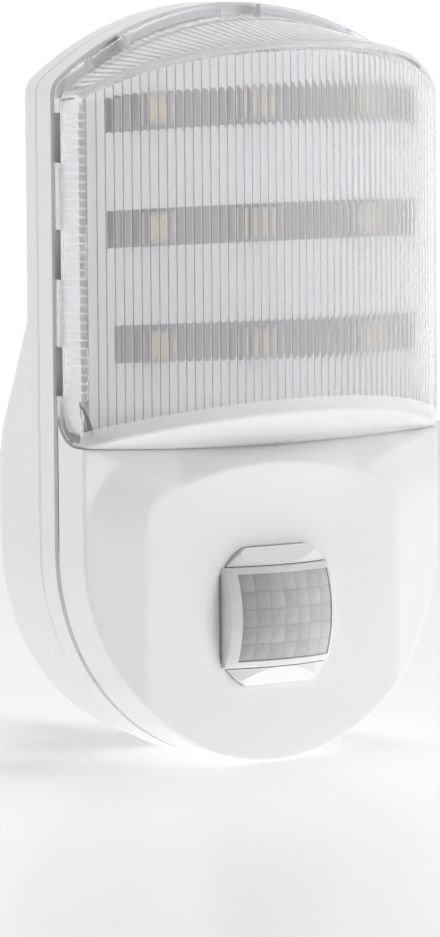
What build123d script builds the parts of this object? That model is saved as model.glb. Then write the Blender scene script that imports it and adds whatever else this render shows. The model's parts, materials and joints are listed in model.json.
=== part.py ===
from build123d import *
from math import asin, cos, degrees, hypot, radians, sin, sqrt
import os

# Plug-in night light with a motion sensor, millimetres.
# X runs to the right as seen from the front, Z up, and the front faces -Y.
# The origin is the middle of the plug's face, between the two pins.
# Depths are counted forward (towards -Y) from that face.

os.makedirs("parts", exist_ok=True)

# ---- the case, seen from the front ----
case_width = 72.0            # straight sides, round foot of half this width
crown_radius = 57.0          # arc over the top
crown_height = 88.0          # top of the case above the plug's axis
shoulder_round = 4.0         # corner between a side and the crown
least_round = 0.5

# ---- depths ----
plug_reach = 17.5            # plug body behind the case
hump_depth = 11.1            # swelling on the case's back
rear_band = 3.5              # rim of the rear shell
middle_band = 5.05           # rim of the middle frame
front_band = 7.35            # side wall of the cover and the lens
plateau_rise = 2.3           # raised pad on the cover
lens_radius = 53.8           # curve of the lens's front, seen from above

# ---- walls and gaps ----
wall = 2.0                   # shells
lens_wall = 2.0
tray_wall = 1.5
fit_gap = 0.15               # between moulded pieces that fit together
slide_gap = 0.3              # round the switch knob
groove_width = 1.0           # shadow line in front of the middle frame
groove_inset = 0.7
lip_wall = 1.2
seam_break = 0.3             # broken edge along a seam
edge_round = 0.4

# ---- hump ----
hump_step = 0.6              # hump stands in from the case's side
hump_draft = 0.8             # more of the same at the back
ramp_top = 41.2              # where the ramp meets the rim
ramp_foot = 17.6             # where its line meets the back
ramp_blend = 16.0            # curve between the ramp and the back
hump_round = 2.0

# ---- plug: round contour body with two pins ----
plug_radius = 18.0
plug_chamfer = 1.0
plug_floor = 3.0
plug_wall = 2.5
clip_notch_width = 8.0       # room for the socket's earth clips
clip_notch_depth = 4.0
pin_radius = 2.4
pin_length = 19.0
pin_pitch = 19.0
pin_tip_run = 2.2            # sloping end of a pin
pin_tip_step = 1.2
pin_root_radius = 2.8        # thicker root moulded into the plug's face
collar_radius = 3.6
collar_height = 2.0
pin_sleeve_wall = 1.6
pin_sleeve_height = 9.0
pin_tail = 16.0              # end of the pin inside the plug, from the face
rivet_radius = 1.2
rivet_height = 1.2
drum_radius = 20.0           # inner end of the plug body, wider than its hole
drum_height = 6.0
ear_reach = 24.0             # circle of the plug's three screws
ear_radius = 3.6
ear_height = 2.0
ear_angles = (30, 150, 270)

# ---- cover ----
junction_height = 15.7       # lower edge of the lens at its middle
junction_dip = 1.3           # the ends stand this much higher
lens_corner = 5.5            # round lower corner of the lens's side
plateau_half = 25.5
plateau_crown = 13.2         # top of the raised pad
plateau_arch = 62.0
plateau_corner = 4.5
foot_run = 12.0              # how far the pad's drawing runs on below the case

# ---- lens ----
flange_depth = 2.0
lens_back_drop = 1.85        # top of the lens's wall behind, below the case's crown
lens_front_drop = 6.3        # and at the front
lens_front_arch = 103.0
bevel_slope = 0.435          # underside of the lens, rise per depth
rib_pitch = 1.4
rib_height = 0.6
rib_bite = 0.15              # root of a rib inside the wall
rib_margin = 0.8             # between the ribs' ends and the next wall
flange_inset = 0.3
snap_length = 7.4            # legs of the lens, in pockets of the frame
snap_wall = 0.8
snap_depth = 1.8
snap_drop = 6.75             # middle of a leg below a window's upper edge
crown_snap_angle = 27.8      # legs over the crown, from the middle
pocket_length = 8.0
pocket_inset = 1.1           # from the case's side
pocket_width = 1.6
pocket_depth = 2.4

# ---- tray and light board ----
row_pitch = 18.75
top_row_drop = 4.6           # upper edge of the highest window below the face's crown
window_height = 6.15
window_margin = 2.5          # face beside a window
shade_height = 4.4           # sloping lower lip of a window
shade_depth = 3.0
row_count = 3
column_pitch = 20.0
tray_stand = 1.0             # tray face ahead of the cover's edge
tray_gap = 0.8               # between the lens's wall and the tray's rim
tray_crown_gap = 1.6         # the same over the crown
tray_rim_depth = 4.0
tray_face_inset = 4.2        # face drawn in from the rim
tray_face_gap = 1.7          # face's crown below the lens's wall
tray_face_arch = 90.0
tray_foot_rise = 3.8         # foot of the rim above the junction
tray_face_rise = 3.0         # foot of the face above the rim's
tray_thickness = 3.6
board_thickness = 1.6
light_board_inset = 4.7      # between the board and the tray's wall
light_board_drop = 1.6       # board's crown below the face's
light_board_rise = 1.1       # board's foot above the face's
led_size = 5.0
led_height = 1.6
led_drop = 2.9               # centre below the window's upper edge
phosphor_radius = 2.0
phosphor_height = 0.15

# ---- motion sensor ----
sensor_height = -11.8        # centre of the sensor window
sensor_lens_half = 10.65
sensor_lens_rise = 8.25      # half its height
sensor_lens_bow = 27.9       # curve round a vertical axis
sensor_lens_edge = 4.5       # its upper edge ahead of the cover's edge
sensor_lens_swell = 1.85     # further swell at mid height
sensor_lens_wall = 0.9
sensor_lens_seat = 1.4       # back of the lens, ahead of the cover's edge
bezel_radius = 12.9
bezel_half = 10.9
bezel_rise = 11.3
bezel_edge = 3.0             # outer edge of its sloping faces
bezel_flange = 1.3
bezel_flange_lip = 1.4       # overlap behind the cover
bezel_window_inset = 1.6
can_radius = 4.6
can_height = 4.2
can_rim_radius = 5.0
can_rim_height = 0.6
can_lid = 0.4
can_window_width = 4.0
can_window_height = 3.0
can_offset = -2.0
can_setback = 0.8            # top of the can behind the cover's edge
spacer_radius = 4.8
sensor_gate_width = 17.0     # opening in the frame's web
sensor_gate_height = 12.0
sensor_gate_x = 1.0
eye_radius = 1.5             # daylight sensor beside the can
eye_height = 3.6
eye_offset = 6.6
lead_radius = 0.3

# ---- main board ----
board_gap = 3.45             # posts between the frame's web and the board
board_half = 23.0
board_inset = 10.0
board_top = 33.0
switch_tab_half = 7.5
switch_tab_reach = 31.0
web_thickness = 1.6
web_skin = 0.3               # left in front of blind screw holes
post_radius = 2.6
post_x = 19.5
post_high = 14.0
post_low = -21.5
strip_thickness = 0.6        # brass strips from pins to board
strip_width = 4.0
strip_reach = 4.6
link_height = 28.0           # header between the two boards
link_slot_length = 12.0
link_slot_width = 4.0
link_header_length = 10.4
link_header_width = 2.5
link_pin_pitch = 2.54
link_pin_count = 4
link_pin_tail = 1.2
capacitor_size = (13.0, 6.0, 5.0)
capacitor_place = (-12.5, 26.0)
reservoir_radius = 3.15
reservoir_length = 9.0
reservoir_place = (12.5, 24.5)
diode_radius = 1.3
diode_length = 5.2
diode_pitch = 3.4
diode_place = (-14.0, -8.0)
fuse_radius = 2.0
fuse_length = 9.0
fuse_place = (9.0, -10.0)
chip_size = (8.7, 3.9, 1.5)
chip_place = (-10.0, 7.0)
chip_leg_span = 6.0
chip_leg_pitch = 1.27
chip_leg_count = 7
chip_leg_width = 0.4
chip_leg_height = 0.5
resistor_size = (2.0, 1.25, 0.6)
resistor_place = (12.0, 7.0)
resistor_pitch = (3.2, 2.4)

# ---- slide switch on the right-hand side ----
switch_height = 8.0          # middle of its travel
switch_travel = 2.0          # from there to either end
knob_length = 4.4
knob_width = 2.6
knob_stand = 0.7             # above the hump's side
knob_foot_length = 5.4
knob_foot_width = 4.4
knob_foot_height = 1.4
knob_groove = 0.3
knob_groove_count = 3
switch_body_width = 7.0
switch_body_length = 14.0
switch_body_height = 5.6
switch_lid = 0.8

# ---- screws ----
screw_radius = 1.45
screw_head_radius = 2.7
screw_head_height = 1.5
screw_length = 4.8
screw_recess = 1.7
small_screw_radius = 1.1
small_head_radius = 2.0
small_head_height = 1.2
small_screw_length = 5.4
board_screw_length = 4.6
head_break = 0.5
driver_width = 0.8           # cross recess of the case's screws
driver_reach = 3.2
driver_depth = 0.9
boss_wall = 1.7
cover_screw_inset = 7.0      # from the case's side
cover_screw_z = 4.0
foot_screw_z = -29.0
cover_boss_radius = 2.9
tray_screw_inset = 3.7       # from the rim's side
tray_screw_rise = 2.4        # above a window
tray_boss_radius = 2.5
well_inset = 8.5             # deep wells in the hump, from the case's side
well_z = -14.0
upper_screw_inset = 14.0
upper_screw_z = 60.0

# ---- worked out from the above ----
half_width = case_width / 2
crown_centre = crown_height - crown_radius
back = plug_reach                       # the hump's back
rim = back + hump_depth                 # rear face of the case's rim
rear_seam = rim + rear_band
front_seam = rear_seam + middle_band
edge = front_seam + front_band          # front edge of the case's side
lens_centre = edge - sqrt(lens_radius**2 - half_width**2)
lens_front = lens_centre + lens_radius
flange_front = front_seam + flange_depth
web_back = front_seam - web_thickness
lip_height = rear_band - wall - slide_gap
main_back = web_back - board_gap - board_thickness
main_front = main_back + board_thickness
tray_face = edge + tray_stand
light_front = tray_face - tray_thickness
light_back = light_front - board_thickness
screw_bore = screw_radius + fit_gap
switch_depth = main_back - switch_body_width / 2
plateau_face = edge + plateau_rise
bezel_seat = plateau_face - wall
bow_axis = edge + sensor_lens_edge - sensor_lens_bow
boss_radius = screw_head_radius + fit_gap + boss_wall
upper_screw_x = half_width - upper_screw_inset
well_x = half_width - well_inset
cover_screw_x = half_width - cover_screw_inset
lens_back_crown = crown_height - lens_back_drop
lens_front_crown = crown_height - lens_front_drop
tray_rim_half = half_width - lens_wall - tray_gap
tray_rim_crown = lens_back_crown - lens_wall - tray_crown_gap
tray_foot = junction_height + tray_foot_rise
tray_face_half = tray_rim_half - tray_face_inset
tray_face_crown = lens_front_crown - lens_wall - tray_face_gap
tray_face_foot = tray_foot + tray_face_rise
tray_screw_x = tray_rim_half - tray_screw_inset
light_board_half = tray_rim_half - tray_wall - light_board_inset
light_board_crown = tray_face_crown - light_board_drop
light_board_foot = tray_face_foot + light_board_rise
window_half = tray_face_half - window_margin
top_row = tray_face_crown - top_row_drop
window_tops = [top_row - row_pitch * row for row in range(row_count)]
tray_screw_heights = [top + tray_screw_rise for top in window_tops[1:]]
columns = [column_pitch * (column - 1) for column in range(3)]


# ---- helpers ----
def at(depth):
    return Plane.XZ.offset(depth)


def slab(face, start, end):
    """A flat drawing seen from the front, made solid between two depths."""
    return extrude(at(start) * face, amount=end - start)


def post(x, z, radius, start, end):
    return slab(Pos(x, z) * Circle(radius), start, end)


def block(width, height, x, z, start, end):
    return slab(Pos(x, z) * Rectangle(width, height), start, end)


def side_slab(points, half):
    """A side view of (depth, height) points, made solid to either side."""
    face = make_face(Polyline(*[(-depth, height) for depth, height in points], close=True))
    return extrude(Plane.YZ * face, amount=half, both=True)


def outline(inset):
    """Front view of the case, drawn in by inset."""
    half = half_width - inset
    crown = crown_radius - inset
    shoulder = crown_centre + sqrt(crown**2 - half**2)
    foot = ThreePointArc((-half, 0), (0, -half), (half, 0))
    right = Line((half, 0), (half, shoulder))
    top = ThreePointArc((half, shoulder), (0, crown_centre + crown), (-half, shoulder))
    left = Line((-half, shoulder), (-half, 0))
    face = make_face([foot, right, top, left])
    corners = face.vertices().group_by(Axis.Y)[-1]
    return fillet(corners, max(shoulder_round - inset, least_round))


def dome(half, foot, crown, radius):
    """A panel with straight sides, a level foot and an arched top."""
    shoulder = crown - radius + sqrt(radius**2 - half**2)
    base = Line((-half, foot), (half, foot))
    right = Line((half, foot), (half, shoulder))
    top = ThreePointArc((half, shoulder), (0, crown), (-half, shoulder))
    left = Line((-half, shoulder), (-half, foot))
    return make_face([base, right, top, left])


def write(name, shape):
    export_step(shape, f"parts/{name}.step")


# ---- rear shell ----
def hump_section(depth, inset):
    """Front view of the hump at a depth, drawn in by inset."""
    half = hump_half(depth) - inset
    top = Line((half, ramp_top), (-half, ramp_top))
    left = Line((-half, ramp_top), (-half, 0))
    foot = ThreePointArc((-half, 0), (0, -half), (half, 0))
    right = Line((half, 0), (half, ramp_top))
    return make_face([top, left, foot, right])


def hump_half(depth):
    return half_width - hump_step - hump_draft * (rim - depth) / hump_depth


def hump_sides(inset):
    ends = [at(depth) * hump_section(depth, inset) for depth in (rim, back)]
    return loft(ends, ruled=True)


def under_ramp(inset):
    """Everything between the hump's back, drawn in by inset, and the case's rim."""
    rate = (ramp_top - ramp_foot) / hump_depth
    high = ramp_top - inset * hypot(1, rate)
    deep = back + inset
    front = rim + wall
    low = -case_width
    bend = (-deep, high - rate * (rim - deep))
    profile = Polyline((-front, low), (-front, high + wall * rate), bend, (-deep, low), close=True)
    face = make_face(profile)
    face = fillet(face.vertices().sort_by_distance(bend)[0], ramp_blend)
    return extrude(Plane.YZ * face, amount=case_width, both=True)


def hump_hollow():
    return (hump_sides(wall) + slab(hump_section(rim, wall), rim, rim + wall)) & under_ramp(wall)


def rounded_hump():
    body = hump_sides(0) & under_ramp(0)
    rear = [e for e in body.edges() if is_rear_edge(e)]
    return fillet(rear, hump_round)


def is_rear_edge(edge_line):
    """Edges between the hump's back or ramp and its side."""
    centre = edge_line.center()
    crosswise = edge_line.geom_type == GeomType.LINE and abs(edge_line.tangent_at(0).X) > 0.9
    return -centre.Y < rim - least_round and not crosswise and not runs_fore_and_aft(edge_line)


def runs_fore_and_aft(edge_line):
    return abs(edge_line.tangent_at(0.5).Y) > 0.9


def rear_shell():
    band = slab(outline(0), rim, rear_seam)
    band = chamfer(band.faces().sort_by(Axis.Y)[-1].edges(), edge_round)
    band = chamfer(band.faces().sort_by(Axis.Y)[0].edges(), seam_break)
    shell = band + rounded_hump()
    shell -= slab(outline(wall), rim + wall, rear_seam + wall)
    shell -= hump_hollow()
    for x in (-upper_screw_x, upper_screw_x):
        shell += post(x, upper_screw_z, boss_radius, rim + wall, rear_seam)
        shell -= post(x, upper_screw_z, screw_head_radius + fit_gap, rim - wall, rim + screw_recess)
        shell -= post(x, upper_screw_z, screw_bore, rim, rear_seam + wall)
    for x in (-well_x, well_x):
        tube = post(x, well_z, boss_radius, back + wall, rear_seam)
        shell += tube & slab(outline(wall / 2 + hump_step), back, rear_seam)
        shell -= post(x, well_z, screw_head_radius + fit_gap, back - wall, rim + screw_recess)
        shell -= post(x, well_z, screw_bore, rim, rear_seam + wall)
    for angle in ear_angles:
        x, z = ear_place(angle)
        pillar_top = back + wall + drum_height - ear_height
        shell += post(x, z, ear_radius - fit_gap, back + wall / 2, pillar_top)
        shell -= post(x, z, screw_radius, back + wall, pillar_top + wall)
    shell -= post(0, 0, plug_radius + fit_gap, back - wall, back + wall * 2)
    shell -= post(0, 0, drum_radius + fit_gap, back + wall, rim)
    return shell - switch_slot()


def ear_place(angle):
    return ear_reach * cos(radians(angle)), ear_reach * sin(radians(angle))


# ---- plug ----
def plug_body():
    top = back + wall + drum_height
    body = post(0, 0, plug_radius, 0, back + wall)
    body = chamfer(body.faces().sort_by(Axis.Y)[-1].edges(), plug_chamfer)
    body += post(0, 0, drum_radius, back + wall, top)
    for angle in ear_angles:
        x, z = ear_place(angle)
        body += post(x, z, ear_radius, top - ear_height, top)
        arm = Rot(0, 0, angle) * (Pos(ear_reach / 2, 0) * Rectangle(ear_reach, ear_radius * 2))
        body += slab(arm, top - ear_height, top)
    body -= post(0, 0, plug_radius - plug_wall, plug_floor, top + wall)
    for z in (-pin_pitch / 2, pin_pitch / 2):
        sleeve_top = plug_floor + pin_sleeve_height
        body += post(0, z, collar_radius + pin_sleeve_wall, plug_floor / 2, sleeve_top)
        body -= post(0, z, collar_radius + fit_gap, plug_floor, top)
        body -= post(0, z, pin_root_radius, -wall, plug_floor * 2)
    for side in (-1, 1):
        x = side * (plug_radius - clip_notch_depth / 2)
        inside = side * (plug_radius - clip_notch_depth)
        guard_width = clip_notch_width + plug_wall * 2
        guard = block(plug_wall * 2, guard_width, inside, 0, plug_floor / 2, back)
        body += guard & post(0, 0, plug_radius - plug_wall / 2, 0, back)
        body -= block(clip_notch_depth, clip_notch_width, x, 0, -wall, back - wall)
    for angle in ear_angles:
        x, z = ear_place(angle)
        body -= post(x, z, screw_bore, back, top + wall)
    return body


def plug_pins():
    pins = []
    for z in (-pin_pitch / 2, pin_pitch / 2):
        pin = post(0, z, pin_radius, -pin_length, pin_tail)
        tip = pin.faces().sort_by(Axis.Y)[-1]
        pin = chamfer(tip.edges(), pin_tip_step, pin_tip_run, reference=tip)
        pin += post(0, z, pin_root_radius, 0, plug_floor)
        pin += post(0, z, collar_radius, plug_floor, plug_floor + collar_height)
        pin += post(0, z, rivet_radius, pin_tail, pin_tail + rivet_height)
        pins.append(pin)
    return Compound(pins)


def pin_terminals():
    """Brass strips from the pins' tails to the main board."""
    strips = []
    for side in (-1, 1):
        z = side * pin_pitch / 2
        eye = post(0, z, collar_radius, pin_tail, pin_tail + strip_thickness)
        eye -= post(0, z, rivet_radius, pin_tail - wall, pin_tail + wall)
        reach = z + side * strip_reach
        middle = (z + reach) / 2
        arm = block(strip_width, strip_reach, 0, middle, pin_tail, pin_tail + strip_thickness)
        arm -= post(0, z, rivet_radius, pin_tail - wall, pin_tail + wall)
        leg = block(strip_width, strip_thickness, 0, reach, pin_tail, main_back)
        strips.append(eye + arm + leg)
    return Compound(strips)


# ---- middle frame ----
def middle_frame():
    step = front_seam - groove_width
    body = slab(outline(0), rear_seam, step)
    body = chamfer(body.faces().sort_by(Axis.Y)[-1].edges(), seam_break)
    body += slab(outline(groove_inset), step, front_seam)
    body += slab(outline(wall + fit_gap), rear_seam - lip_height, rear_seam)
    body -= slab(outline(wall + fit_gap + lip_wall), rear_seam - lip_height - wall, web_back)
    gate = (sensor_gate_width, sensor_gate_height, sensor_gate_x, sensor_height)
    body -= block(*gate, rear_seam, edge)
    body -= block(link_slot_length, link_slot_width, 0, link_height, rear_seam, edge)
    for x, z in board_posts():
        body += post(x, z, post_radius, main_front, web_back)
        body -= post(x, z, small_screw_radius, main_front - wall, front_seam - web_skin)
    for x in (-upper_screw_x, upper_screw_x):
        body += post(x, upper_screw_z, boss_radius, rear_seam, web_back)
        body -= post(x, upper_screw_z, screw_radius, rear_seam - wall, front_seam - web_skin)
    for x in (-well_x, well_x):
        body -= post(x, well_z, boss_radius + fit_gap, rim, rear_seam)
        body += post(x, well_z, boss_radius, rear_seam, web_back) & slab(outline(wall), rim, edge)
        body -= post(x, well_z, screw_radius, rear_seam - wall, front_seam - web_skin)
    for x, z in cover_screw_places() + tray_screw_places():
        body -= post(x, z, small_screw_radius + fit_gap, web_back - wall, front_seam + wall)
    floor = front_seam - pocket_depth
    return body - around_rim(pocket_length, pocket_inset, pocket_width, floor, front_seam + wall)


def board_posts():
    return [(-post_x, post_high), (post_x, post_high), (0, post_low)]


def cover_screw_places():
    return [(-cover_screw_x, cover_screw_z), (cover_screw_x, cover_screw_z), (0, foot_screw_z)]


def tray_screw_places():
    return [(side * tray_screw_x, z) for side in (-1, 1) for z in tray_screw_heights]


# ---- lens ----
def over_junction(lift):
    """Everything above the surface where the lens meets the cover."""
    wide = case_width
    sill = junction_height + lift
    bow = junction_dip * (wide / half_width) ** 2
    ceiling = crown_height * 2
    low = ThreePointArc((-wide, sill + bow), (0, sill), (wide, sill + bow))
    right = Line((wide, sill + bow), (wide, ceiling))
    top = Line((wide, ceiling), (-wide, ceiling))
    left = Line((-wide, ceiling), (-wide, sill + bow))
    face = make_face([low, right, top, left])
    run = lens_front - edge + wall
    ahead = Solid.extrude((at(edge) * face).faces()[0], Vector(0, -run, run * bevel_slope))
    corner = front_seam + lens_corner
    below = block(wide * 2, lens_corner * 2, 0, sill, front_seam - wall * 2, corner)
    round_bar = Plane.YZ * Pos(-corner, sill + lens_corner) * Circle(lens_corner)
    below -= extrude(round_bar, amount=wide, both=True)
    return slab(face, front_seam - wall, edge) + ahead - below


def lens_form(inset, lift):
    """The lens's dome, drawn in by inset and lifted off the cover."""
    half = half_width - inset
    start = dome(half, 0, lens_back_crown - inset, crown_radius)
    end = dome(half, 0, lens_front_crown - inset, lens_front_arch)
    body = loft([at(flange_front) * start, at(lens_front) * end], ruled=True)
    body += slab(start, front_seam - inset, flange_front)
    curve = Pos(0, -lens_centre, 0) * Cylinder(lens_radius - inset, crown_height * 3)
    return body & curve & over_junction(lift)


def front_ribs():
    """Upright ridges on the inside of the lens's front."""
    inner = lens_radius - lens_wall
    sweep = asin((half_width - lens_wall - rib_margin) / inner)
    count = int(sweep * inner / rib_pitch)
    tooth = Polyline(
        (-rib_pitch / 2, -inner - rib_bite),
        (0, -inner + rib_height),
        (rib_pitch / 2, -inner - rib_bite),
        close=True,
    )
    ridges = []
    for number in range(-count, count + 1):
        angle = number * rib_pitch / inner
        x = inner * sin(angle)
        ahead = lens_centre + inner * cos(angle) - edge
        drop = lens_front_arch - sqrt(lens_front_arch**2 - x**2)
        sag = junction_dip * (x / half_width) ** 2
        bottom = junction_height + sag + bevel_slope * ahead + lens_wall + rib_margin
        top = lens_front_crown - drop - lens_wall - rib_margin
        face = Pos(0, -lens_centre, bottom) * Rot(0, 0, degrees(angle)) * make_face(tooth)
        ridges.append(extrude(face, amount=top - bottom))
    return ridges


def around_rim(length, inset, width, low, high):
    """Small blocks under the lens's wall, three to a side and three over the crown."""
    blocks = []
    for top in window_tops:
        for side in (-1, 1):
            x = side * (half_width - inset - width / 2)
            blocks.append(block(width, length, x, top - snap_drop, low, high))
    axis = lens_back_crown - crown_radius
    for angle in (-crown_snap_angle, 0, crown_snap_angle):
        flat = Pos(0, crown_radius - inset - width / 2) * Rectangle(length, width)
        blocks.append(slab(Pos(0, axis) * Rot(0, 0, angle) * flat, low, high))
    return blocks


def lens():
    body = slab(outline(flange_inset), front_seam, flange_front) & over_junction(fit_gap)
    body += lens_form(0, fit_gap)
    body -= lens_form(lens_wall, lens_wall)
    leg_inset = lens_wall - snap_wall
    body += around_rim(snap_length, leg_inset, snap_wall, front_seam - snap_depth, flange_front)
    return body + front_ribs()


# ---- reflector tray and light board ----
def reflector_tray():
    shoulder = front_seam + tray_rim_depth
    rim_shape = dome(tray_rim_half, tray_foot, tray_rim_crown, crown_radius)
    face_shape = dome(tray_face_half, tray_face_foot, tray_face_crown, tray_face_arch)
    body = slab(rim_shape, front_seam, shoulder)
    body += loft([at(shoulder) * rim_shape, at(tray_face) * face_shape], ruled=True)
    hollow = dome(
        tray_rim_half - tray_wall,
        tray_foot + tray_wall,
        tray_rim_crown - tray_wall,
        crown_radius - tray_wall,
    )
    body -= slab(hollow, front_seam - wall, light_back)
    for x, z in tray_screw_places():
        boss = post(x, z, tray_boss_radius, front_seam, light_front)
        body += boss & slab(rim_shape, front_seam, light_front)
    body -= slab(light_board_shape(fit_gap), light_back - wall, light_front)
    for x, z in tray_screw_places():
        body -= post(x, z, small_screw_radius, front_seam - wall, light_front - web_skin)
    for top in window_tops:
        body -= window(top)
    return body & over_junction(lens_wall + fit_gap)


def window(top):
    """A light window with a sloping lower lip."""
    sill = top - window_height
    ahead = tray_face + wall
    behind = light_front - least_round
    return side_slab(
        [
            (ahead, top),
            (behind, top),
            (behind, sill),
            (tray_face - shade_depth, sill),
            (tray_face, sill - shade_height),
            (ahead, sill - shade_height),
        ],
        window_half,
    )


def light_board_shape(gap):
    half = light_board_half + gap
    return dome(half, light_board_foot - gap, light_board_crown + gap, tray_face_arch)


def light_board():
    return slab(light_board_shape(0), light_back, light_front) - link_holes()


def led_places():
    return [(x, top - led_drop) for top in window_tops for x in columns]


def leds():
    front = light_front + led_height
    packages = []
    for x, z in led_places():
        package = block(led_size, led_size, x, z, light_front, front)
        package -= post(x, z, phosphor_radius, front - phosphor_height, front + phosphor_height)
        packages.append(package)
    return Compound(packages)


def led_phosphors():
    front = light_front + led_height
    back_face = front - phosphor_height
    return Compound([post(x, z, phosphor_radius, back_face, front) for x, z in led_places()])


# ---- front cover ----
def pad_drawing(half, side, crown, corner):
    """Front view of the raised pad or of its base, running on below the case."""
    low = -half_width - foot_run
    base = Line((-half, low), (half, low))
    right = Line((half, low), (half, side))
    top = ThreePointArc((half, side), (0, crown), (-half, side))
    left = Line((-half, side), (-half, low))
    face = make_face([base, right, top, left])
    return fillet(face.vertices().group_by(Axis.Y)[-1], corner)


def plateau(inset):
    """The raised pad: flat in front, with slopes to the sides and the lens."""
    crown = junction_height - inset
    base = pad_drawing(half_width - inset, crown + junction_dip, crown, least_round)
    crown = plateau_crown - inset
    side = crown - plateau_arch + sqrt(plateau_arch**2 - plateau_half**2)
    face = pad_drawing(plateau_half - inset, side, crown, plateau_corner - inset)
    return loft([at(edge - inset) * base, at(plateau_face - inset) * face], ruled=True)


def cover_form(inset):
    side = slab(outline(inset), front_seam - inset, edge - inset)
    pad = plateau(inset) & slab(outline(inset), front_seam, plateau_face)
    return side + pad - over_junction(-inset)


def bezel_shape(gap):
    disc = Circle(bezel_radius + gap) & Rectangle((bezel_half + gap) * 2, (bezel_rise + gap) * 2)
    return Pos(0, sensor_height) * disc + lens_window(gap)


def lens_window(gap):
    width = (sensor_lens_half + gap) * 2
    return Pos(0, sensor_height) * Rectangle(width, (sensor_lens_rise + gap) * 2)


def front_cover():
    body = cover_form(0)
    side = slab(outline(0), front_seam, plateau_face)
    body &= chamfer(side.faces().sort_by(Axis.Y)[-1].edges(), seam_break)
    body -= cover_form(wall)
    for x, z in cover_screw_places():
        body += post(x, z, cover_boss_radius, front_seam, plateau_face) & cover_form(wall / 2)
        body -= post(x, z, small_screw_radius, front_seam - wall, edge - wall)
    return body - slab(bezel_shape(fit_gap), front_seam, plateau_face + wall)


# ---- motion sensor ----
def pir_bezel():
    start = bezel_seat - bezel_flange
    edge_depth = edge + bezel_edge
    top = edge + sensor_lens_edge
    inner = sensor_lens_rise + fit_gap
    middle = sensor_height
    profile = [
        (start, middle - bezel_rise),
        (edge_depth, middle - bezel_rise),
        (top, middle - inner),
        (top, middle + inner),
        (edge_depth, middle + bezel_rise),
        (start, middle + bezel_rise),
    ]
    body = slab(bezel_shape(0), start, top) & side_slab(profile, half_width)
    body &= Pos(0, -bow_axis, 0) * Cylinder(sensor_lens_bow, case_width)
    body += slab(bezel_shape(bezel_flange_lip), start, bezel_seat)
    body -= block(case_width, inner * 2, 0, middle, edge + sensor_lens_seat, top + wall)
    return body - slab(lens_window(-bezel_window_inset), front_seam, top)


def bow_solid(radius, rise):
    """A drum on the upright axis of the sensor's lens, swollen at mid height."""
    foot = Line((0, -rise), (radius, -rise))
    belly = ThreePointArc((radius, -rise), (radius + sensor_lens_swell, 0), (radius, rise))
    top = Line((radius, rise), (0, rise))
    axis = Line((0, rise), (0, -rise))
    drum = revolve(Plane.XZ * make_face([foot, belly, top, axis]), Axis.Z)
    return Pos(0, -bow_axis, sensor_height) * drum


def pir_lens():
    seat = edge + sensor_lens_seat
    beyond = seat + sensor_lens_bow
    body = slab(lens_window(0), seat, beyond) & bow_solid(sensor_lens_bow, sensor_lens_rise)
    rise = sensor_lens_rise - sensor_lens_wall
    room = slab(lens_window(-sensor_lens_wall), seat - wall, beyond)
    return body - (room & bow_solid(sensor_lens_bow - sensor_lens_wall, rise))


def pir_sensor_can():
    top = edge - can_setback
    base = top - can_height
    body = post(can_offset, sensor_height, can_radius, base, top)
    body += post(can_offset, sensor_height, can_rim_radius, base, base + can_rim_height)
    window_shape = (can_window_width, can_window_height, can_offset, sensor_height)
    return body - block(*window_shape, top - can_lid, top + wall)


def pir_sensor_window():
    top = edge - can_setback
    return block(can_window_width, can_window_height, can_offset, sensor_height, top - can_lid, top)


def pir_sensor_spacer():
    top = edge - can_setback - can_height
    return post(can_offset, sensor_height, spacer_radius, main_front, top)


def daylight_sensor():
    top = edge - can_setback
    body = post(eye_offset, sensor_height, eye_radius, top - eye_height, top)
    body = chamfer(body.faces().sort_by(Axis.Y)[0].edges(), eye_radius / 2)
    lead_top = top - eye_height + lead_radius
    for shift in (-eye_radius / 2, eye_radius / 2):
        body += post(eye_offset + shift, sensor_height, lead_radius, main_front, lead_top)
    return body


# ---- main board and what it carries ----
def link_columns():
    middle = (link_pin_count - 1) / 2
    return [link_pin_pitch * (number - middle) for number in range(link_pin_count)]


def link_holes():
    start = main_back - wall
    return [post(x, link_height, lead_radius, start, light_front + wall) for x in link_columns()]


def main_board():
    frame = Pos(0, board_top - case_width) * Rectangle(board_half * 2, case_width * 2)
    plate = outline(board_inset) & frame
    body = slab(plate, main_back, main_front)
    reach = switch_tab_reach
    body += block(reach, switch_tab_half * 2, reach / 2, switch_height, main_back, main_front)
    for x, z in board_posts():
        body -= post(x, z, small_screw_radius + fit_gap, main_back - wall, main_front + wall)
    return body - link_holes()


def link_header():
    body = block(link_header_length, link_header_width, 0, link_height, main_front, light_back)
    return body - link_holes()


def link_pins():
    start = main_back - link_pin_tail
    return Compound([post(x, link_height, lead_radius, start, light_front) for x in link_columns()])


def film_capacitor():
    length, width, height = capacitor_size
    body = block(length, width, *capacitor_place, main_back - height, main_back)
    return chamfer(body.faces().sort_by(Axis.Y)[-1].edges(), least_round)


def lying_can(radius, length, place):
    """A round body lying crosswise on the back of the main board."""
    x, z = place
    bar = Plane.YZ * Pos(radius - main_back, z) * Circle(radius)
    return Pos(x, 0, 0) * extrude(bar, amount=length / 2, both=True)


def reservoir_capacitor():
    body = lying_can(reservoir_radius, reservoir_length, reservoir_place)
    return chamfer(body.edges(), least_round)


def fuse_resistor():
    body = lying_can(fuse_radius, fuse_length, fuse_place)
    return chamfer(body.edges(), least_round)


def rectifier_diodes():
    x, z = diode_place
    places = [(x, z - diode_pitch * row) for row in range(2)] + [
        (x + diode_length * 1.5, z - diode_pitch * row) for row in range(2)
    ]
    return Compound([lying_can(diode_radius, diode_length, place) for place in places])


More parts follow.
